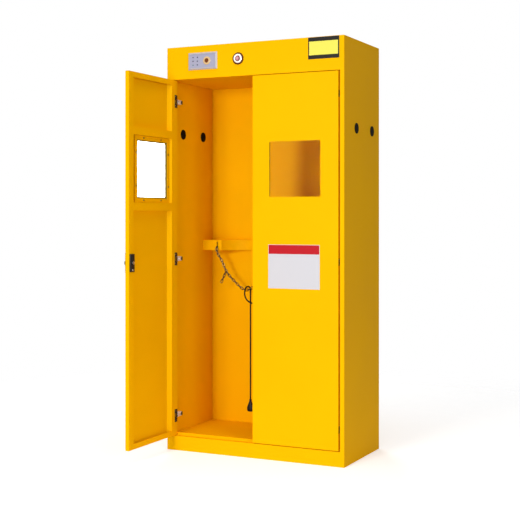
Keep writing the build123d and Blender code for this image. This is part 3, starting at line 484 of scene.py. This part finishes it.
# Hinge leaves: dark steel plates on the doors' lips, each held by two screws and notched for its arm.
# Two ears on each carry painted barrels, which hold the zinc pin above and below the knuckle.
leaf_face = -0.204
ear_thickness = 0.004
coat(zinc, "left_hinge_pins", "right_hinge_pins")
leaf_plate = box_piece("leaf_plate", (0.399, -0.206, -0.03), (0.42, leaf_face, 0.03))
cut(leaf_plate, box_piece("leaf_notch", (0.405, -0.21, -0.011), (0.43, -0.2, 0.011)))
round_edges(leaf_plate, 0.0006)
cover(leaf_plate, dark_steel)
leaf_pieces = [leaf_plate]
for low in (-0.015, 0.011):
    ear = box_piece("leaf_ear", (0.408, pivot_y, low), (0.42, leaf_face, low + ear_thickness))
    barrel = turned("leaf_barrel", [(0.0056, 0), (0.006, 0.0004), (0.006, 0.0036), (0.0056, ear_thickness)])
    barrel.location = (pivot_x, pivot_y, low)
    settle(barrel)
    cover(ear, dark_steel)
    cover(barrel, paint)
    leaf_pieces += [ear, barrel]
leaf_pieces += [placed(packer_screw, (0.4045, leaf_face, height), to_back) for height in (-0.022, 0.022)]
bpy.data.objects.remove(packer_screw)
leaf = joined("hinge_leaf", leaf_pieces)
open_door = Matrix(((0, 1, 0, -0.2), (1, 0, 0, -0.628), (0, 0, 1, 0), (0, 0, 0, 1)))
right_leaves = [placed(leaf, (0, 0, height)) for height in hinge_heights]
left_leaves = []
for height in hinge_heights:
    twin = placed(leaf, (0, 0, height))
    twin.matrix_world = open_door
    settle(twin)
    left_leaves.append(twin)
bpy.data.objects.remove(leaf)
mount(joined("right_hinge_leaf_set", right_leaves), "right_door", "black_steel", "right_hinge_leaves")
mount(joined("left_hinge_leaf_set", left_leaves), "left_door", "black_steel", "left_hinge_leaves")

# Latch on the left door: a dark steel case screwed on the inner lip, with the cam on its zinc spindle,
# pointing up when free. Outside, a dark plate and a low turning grip.
case_face = -0.4
case_plate = box_piece("case_plate", (-0.406, -0.622, 0.857), (case_face, -0.588, 0.937))
round_edges(case_plate, 0.0016, 3)
cover(case_plate, dark_steel)
case_screw = screw_head("case_screw", 0.0038, 0.0022, zinc)
case_pieces = [case_plate]
case_pieces += [placed(case_screw, (case_face, -0.605, height), to_right) for height in (0.866, 0.928)]
bpy.data.objects.remove(case_screw)
mount(joined("latch_case_set", case_pieces), "left_door", "zinc_steel", "latch_case")
coat(dark_steel, "latch_escutcheon", "latch_handle", "latch_cam")
coat(zinc, "latch_spindle")

# Bolts of the right door: round zinc rods that slide up and down in guide blocks inside the door.
# Each has a thumb knob that stands through a slot in the door's inner lip.
coat(zinc, "upper_bolt", "lower_bolt", "bolt_guides")

# Alarm panel: a silver bevelled frame on the header with a lilac-grey face set back in it, a case behind.
# The face carries six small lamps, all dark but a green one, and a pale amber lamp with a deeper middle; both
# have a painted glow.
face_plane = -0.2305
header_middle = 1.828
alarm_lamp_x = -0.233
led_columns = (-0.306, -0.283)
led_rows = (1.8105, header_middle, 1.8455)
to_front = (pi / 2, 0, 0)


def lens(name, colour, painted_glow):
    """A clear coloured lens with a faint painted glow, which stands in for the light that falls through it."""
    material, *_, shader = new_finish(name, colour, 0.12)
    shader.inputs["Specular IOR Level"].default_value = 0.2
    shader.inputs["Coat Weight"].default_value = 0.1
    shader.inputs["Coat Roughness"].default_value = 0.05
    shader.inputs["Emission Color"].default_value = (*colour, 1.0)
    shader.inputs["Emission Strength"].default_value = painted_glow
    return material


def face_front(piece, x, y):
    """Stand a turned piece on the header's middle line, facing the front."""
    piece.location = (x, y, header_middle)
    piece.rotation_euler = to_front
    settle(piece)


silver = grained("silver_plastic", (0.46, 0.45, 0.47), 0.36, 0.1, 500.0, 0.05, 0.25)
face_grey = grained("grey_plastic", (0.36, 0.36, 0.48), 0.5, 0.0, 500.0, 0.05, 0.2)
coat(silver, "alarm_bezel")
coat(face_grey, "alarm_face")
coat(plastic, "alarm_case", "button_switch")
# The amber lamp's two lenses carry a faint painted glow; the lamp is not lit.
pale_amber = lens("pale_amber_lens", (0.66, 0.44, 0.2), 0.05)
deep_amber = lens("deep_amber_lens", (0.16, 0.035, 0.0), 0.03)
lamp_dome = turned("alarm_lamp_dome", [
    (0.019, 0.0), (0.019, 0.0012), (0.0184, 0.002), (0.0165, 0.0026), (0.0125, 0.003), (0.0112, 0.003),
    (0.0108, 0.0026),
], 64)
lamp_middle = turned("alarm_lamp_middle", [
    (0.0107, 0.0024), (0.0106, 0.0028), (0.009, 0.0032), (0.005, 0.0035), (0.001, 0.0035),
], 64)
cover(lamp_dome, pale_amber)
cover(lamp_middle, deep_amber)
lamp_dome = joined("alarm_lamp_set", [lamp_dome, lamp_middle])
face_front(lamp_dome, alarm_lamp_x, face_plane)
mount(lamp_dome, "cabinet", "amber_lens", "alarm_lamp")
dark_lamp = lens("dark_lamp", (0.02, 0.02, 0.05), 0.0)
# The green lamp carries a faint painted glow; the dark ones have none.
green_lamp = lens("green_lamp", (0.05, 0.16, 0.14), 0.03)
led_dome = turned("led_dome", [
    (0.003, 0.0), (0.003, 0.0005), (0.0026, 0.001), (0.0017, 0.0014), (0.0005, 0.0015),
], 24)
leds = []
for column in led_columns:
    for row in led_rows:
        led = placed(led_dome, (column, face_plane, row), to_front)
        cover(led, dark_lamp)
        leds.append(led)
cover(leds[0], green_lamp)
bpy.data.objects.remove(led_dome)
mount(joined("alarm_led_domes", leds), "cabinet", "lamp_lens", "alarm_leds")

# Push button: a dark brown washer on the header, a bright ring screwed on it, and a sprung rose-red cap
# with a paler middle.
button_x = -0.072
header_face = -0.225
washer_face = -0.229
ring_face = -0.233
brown_plastic = grained("brown_plastic", (0.1, 0.026, 0.002), 0.48, 0.0, 320.0, 0.08, 0.1)
chrome = grained("satin_chrome", (0.88, 0.86, 0.82), 0.3, 0.4, 120.0, 0.02)
# The cap's red and pale lenses carry a faint painted glow; the button is not lit.
red_lens = lens("red_lens", (0.22, 0.03, 0.045), 0.03)
pale_lens = lens("pale_red_lens", (0.6, 0.29, 0.33), 0.05)
washer = turned("button_washer", [
    (0.028, 0.0), (0.028, 0.002), (0.0274, 0.0032), (0.026, 0.004), (0.0205, 0.004), (0.0152, 0.0038),
], 64)
face_front(washer, button_x, header_face)
cover(washer, brown_plastic)
mount(washer, "cabinet", "black_plastic", "button_bezel")
ring = turned("button_chrome_ring", [
    (0.021, 0.0), (0.021, 0.0018), (0.0206, 0.0029), (0.0196, 0.0037), (0.0182, 0.004), (0.0142, 0.004),
    (0.0128, 0.0035), (0.0118, 0.0028), (0.0116, 0.001),
], 64)
face_front(ring, button_x, washer_face)
cover(ring, chrome)
mount(ring, "cabinet", "chrome_ring", "button_ring")
cap = turned("button_cap_body", [
    (0.0115, -0.0085), (0.0115, 0.0018), (0.0112, 0.0028), (0.0104, 0.0034), (0.0088, 0.0035),
    (0.0082, 0.0032),
], 64)
cap_middle = turned("button_cap_middle", [
    (0.0082, 0.003), (0.0081, 0.0033), (0.006, 0.0035), (0.001, 0.0036),
], 64)
cover(cap, red_lens)
cover(cap_middle, pale_lens)
cap = joined("button_cap_set", [cap, cap_middle])
face_front(cap, button_x, ring_face)
mount(cap, "button", "red_lens", "button_cap")

# Cable gland: a black moulded gland that closes on the lead under the ceiling.
# Its hexagonal nut holds it from above.
gland_place = (0.334, 0.15, 0)
gland_body = turned("gland_body", [
    (0.0042, 1.726), (0.0062, 1.7262), (0.0082, 1.7275), (0.0098, 1.73), (0.0106, 1.734), (0.0106, 1.741),
    (0.011, 1.7414), (0.011, 1.748),
])
gland_nut = turned("gland_nut", [(0.008, 1.748), (0.008, 1.7495), (0.011, 1.7496), (0.011, 1.7545)], 6)
cover(gland_body, plastic)
cover(gland_nut, plastic)
gland = joined("cable_gland_set", [gland_body, gland_nut])
gland.location = gland_place
settle(gland)
mount(gland, "cabinet", "black_plastic", "cable_gland")

# Supply lead: a black round flex that drops from a gland hidden by the right door, swings below the
# cradle, loops up over the left chain and hangs straight down under the weight of its plug.
lead_route = [
    (0.334, 0.150, 1.726),
    (0.334, 0.150, 1.690),
    (0.316, 0.147, 1.600),
    (0.299, 0.144, 1.500),
    (0.281, 0.141, 1.400),
    (0.261, 0.137, 1.300),
    (0.237, 0.133, 1.200),
    (0.213, 0.129, 1.110),
    (0.186, 0.124, 1.025),
    (0.156, 0.119, 0.945),
    (0.121, 0.113, 0.870),
    (0.092, 0.108, 0.820),
    (0.062, 0.103, 0.778),
    (0.008, 0.100, 0.722),
    (-0.055, 0.097, 0.688),
    (-0.115, 0.094, 0.673),
    (-0.160, 0.092, 0.677),
    (-0.189, 0.094, 0.693),
    (-0.201, 0.096, 0.716),
    (-0.200, 0.097, 0.738),
    (-0.195, 0.098, 0.758),
    (-0.184, 0.127, 0.758),
    (-0.184, 0.127, 0.716),
    (-0.184, 0.127, 0.203),
]
lead_curve = bpy.data.curves.new("supply_lead_flex", "CURVE")
lead_curve.dimensions = "3D"
lead_curve.bevel_depth = 0.0035
lead_curve.bevel_resolution = 5
lead_curve.use_fill_caps = True
lead_spline = lead_curve.splines.new("NURBS")
lead_spline.points.add(len(lead_route) - 1)
for point, place in zip(lead_spline.points, lead_route):
    point.co = (*place, 1.0)
lead_spline.order_u = 3
lead_spline.use_endpoint_u = True
lead_spline.resolution_u = 8
lead = bpy.data.objects.new("supply_lead_flex", lead_curve)
bpy.context.scene.collection.objects.link(lead)
flex, flex_nodes, flex_links, flex_shader = new_finish("black_flex", (0.008, 0.006, 0.005), 0.5)
flex_shader.inputs["Specular IOR Level"].default_value = 0.12
flex_grain = flex_nodes.new("ShaderNodeTexNoise")
flex_grain.inputs["Scale"].default_value = 420.0
flex_bump = flex_nodes.new("ShaderNodeBump")
flex_bump.inputs["Strength"].default_value = 0.12
flex_bump.inputs["Distance"].default_value = 0.0004
flex_place = flex_nodes.new("ShaderNodeTexCoord")
flex_links.new(flex_place.outputs["Object"], flex_grain.inputs["Vector"])
flex_links.new(flex_grain.outputs["Fac"], flex_bump.inputs["Height"])
flex_links.new(flex_bump.outputs["Normal"], flex_shader.inputs["Normal"])
lead_curve.materials.append(flex)
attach(lead, "cabinet")
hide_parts("supply_lead")

# Plug: a moulded black pear shape on the end of the lead, ribbed where the lead enters it.
# Its three flat brass pins stand out of the far side. Its rings are in millimetres.
plug_x, plug_y, plug_top = lead_route[-1]
pin_root = 0.1325
pin_height = 0.1586
plug_rings = [
    (5.0, 5.0, 0.0), (6.2, 6.2, 0.5), (6.6, 6.6, 2.0), (5.6, 5.6, 2.6), (5.6, 5.6, 3.6), (6.7, 6.7, 4.2),
    (6.8, 6.8, 6.0), (5.8, 5.8, 6.6), (5.8, 5.8, 7.6), (7.0, 7.0, 8.2), (7.0, 7.0, 10.0), (6.0, 6.0, 10.6),
    (6.0, 6.0, 11.6), (7.2, 7.2, 12.3), (9.2, 7.9, 18.0), (11.7, 8.7, 24.0), (14.1, 9.4, 30.0),
    (16.4, 10.2, 36.0), (18.0, 10.8, 42.0), (18.5, 11.0, 46.0), (18.2, 10.8, 50.0), (17.2, 10.3, 54.0),
    (15.0, 9.2, 57.5), (12.5, 7.6, 59.3), (9.5, 5.8, 60.0),
]
wide, deep, drop = plug_rings[0]
bpy.ops.object.select_all(action="DESELECT")
bpy.ops.mesh.primitive_circle_add(vertices=48, radius=wide / 1000, fill_type="NGON")
plug_body = bpy.context.active_object
plug_body.name = "lead_plug_body"
bpy.ops.object.mode_set(mode="EDIT")
bpy.ops.mesh.select_all(action="SELECT")
for next_wide, next_deep, next_drop in plug_rings[1:]:
    fall = (drop - next_drop) / 1000
    bpy.ops.mesh.extrude_region_move(TRANSFORM_OT_translate={"value": (0, 0, fall)})
    shares = (next_wide / wide, next_deep / deep, 1)
    bpy.ops.transform.resize(value=shares, center_override=(0, 0, -next_drop / 1000))
    wide, deep, drop = next_wide, next_deep, next_drop
bpy.ops.object.mode_set(mode="OBJECT")
plug_body.location = (plug_x, plug_y, plug_top)
settle(plug_body)
cover(plug_body, plastic)
mount(plug_body, "cabinet", "black_plastic", "lead_plug")
brass = grained("plain_brass", (0.72, 0.5, 0.2), 0.3, 1.0, 240.0, 0.06)
pin = box_piece("pin", (-0.00075, 0, -0.00315), (0.00075, 0.0235, 0.00315))
round_edges(pin, 0.0004)
cover(pin, brass)
pins = []
for across, up, tilt in ((-0.008, 0, 30), (0, 0.008, -90), (0.008, 0, -30)):
    pins.append(placed(pin, (plug_x + across, pin_root, pin_height + up), (0, radians(tilt), 0)))
bpy.data.objects.remove(pin)
pins = joined("plug_pin_set", pins)
mount(pins, "cabinet", "brass_pins", "plug_pins")

# Sign plates: thin printed films stuck on the paint. The door's is white with a red band along its top,
# and the header's is black with a pale yellow field.
film_front = -0.2256
field_front = -0.2257
field_back = -0.2254
white_film = grained("white_film", (0.6, 0.6, 0.64), 0.4, 0.0, 60.0, 0.01, 0.1)
red_film = grained("red_film", (0.48, 0.011, 0.018), 0.4, 0.0, 60.0, 0.01, 0.1)
black_film = grained("black_film", (0.014, 0.013, 0.01), 0.34, 0.0, 60.0, 0.01, 0.1)
yellow_film = grained("pale_yellow_film", (0.8, 0.73, 0.1), 0.4, 0.0, 60.0, 0.01, 0.1)
door_film = box_piece("door_film", (0.0815, film_front, 0.778), (0.3335, header_face, 0.976))
door_band = box_piece("door_band", (0.0832, field_front, 0.9335), (0.3318, field_back, 0.9743))
cover(door_film, white_film)
cover(door_band, red_film)
mount(joined("door_sign_plate", [door_film, door_band]), "right_door", "white_plate", "door_plate")
header_film = box_piece("header_film", (0.278, film_front, 1.8015), (0.427, header_face, 1.8985))
header_field = box_piece("header_field", (0.283, field_front, 1.819), (0.421, field_back, 1.88))
cover(header_film, black_film)
cover(header_field, yellow_film)
mount(joined("header_sign_plate", [header_film, header_field]), "cabinet", "bordered_plate", "header_plate")

low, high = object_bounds()
